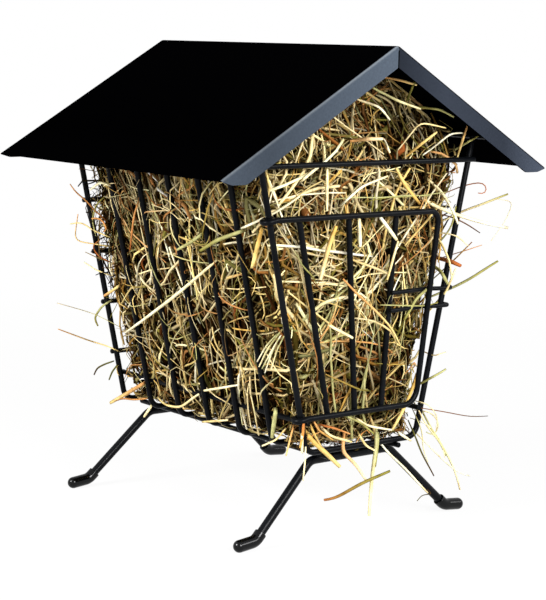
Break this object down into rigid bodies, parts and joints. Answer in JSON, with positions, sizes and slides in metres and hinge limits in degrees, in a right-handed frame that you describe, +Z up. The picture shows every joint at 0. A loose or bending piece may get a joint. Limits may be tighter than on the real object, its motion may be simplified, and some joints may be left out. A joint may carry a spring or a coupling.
{
  "type": "hay feeder box",
  "caption": "Free-standing wire hay feeder for small pets: a tapered hopper of bent wire on splayed legs, with a barred end door and a lift-off gabled sheet roof.",
  "frame": {"origin": "on the floor, under the middle of the roof", "axes": "+X along the ridge towards the end with the door, +Y across towards the catch side, +Z up"},
  "size_m": [0.204, 0.2138, 0.2499],
  "materials": {
    "coated_wire": "satin black powder coat on steel wire",
    "roof_sheet": "smooth satin black coat on steel sheet",
    "foot_cap": "soft glossy black vinyl"
  },
  "bodies": {
    "hopper": {"hoop_1": "coated_wire", "hoop_2": "coated_wire", "hoop_3": "coated_wire", "hoop_4": "coated_wire", "hoop_5": "coated_wire", "hoop_6": "coated_wire", "hoop_7": "coated_wire", "top_rail_left": "coated_wire", "top_rail_right": "coated_wire", "lower_rail_left": "coated_wire", "lower_rail_right": "coated_wire", "bottom_rail_left": "coated_wire", "bottom_rail_right": "coated_wire", "front_end_rail": "coated_wire", "rear_end_rail": "coated_wire", "rear_cross_wire_1": "coated_wire", "rear_cross_wire_2": "coated_wire", "rear_cross_wire_3": "coated_wire", "rear_cross_wire_4": "coated_wire", "front_leg_wire": "coated_wire", "rear_leg_wire": "coated_wire", "front_left_foot_cap": "foot_cap", "front_right_foot_cap": "foot_cap", "rear_left_foot_cap": "foot_cap", "rear_right_foot_cap": "foot_cap"},
    "door": {"door_frame": "coated_wire", "door_bar_1": "coated_wire", "door_bar_2": "coated_wire", "door_bar_3": "coated_wire", "lower_catch_prong": "coated_wire", "upper_catch_prong": "coated_wire"},
    "roof": {"roof": "roof_sheet"}
  },
  "joints": [
    {"name": "door_hinge", "type": "hinge", "parent": "hopper", "child": "door", "pos_m": [0.0821, -0.06321, 0.16497], "axis": [0, 0.2164, -0.9763], "range_deg": [0, 240]},
    {"name": "roof_lift", "type": "slide", "parent": "hopper", "child": "roof", "axis": [0, 0, 1], "range_m": [0, 0.08]}
  ]
}
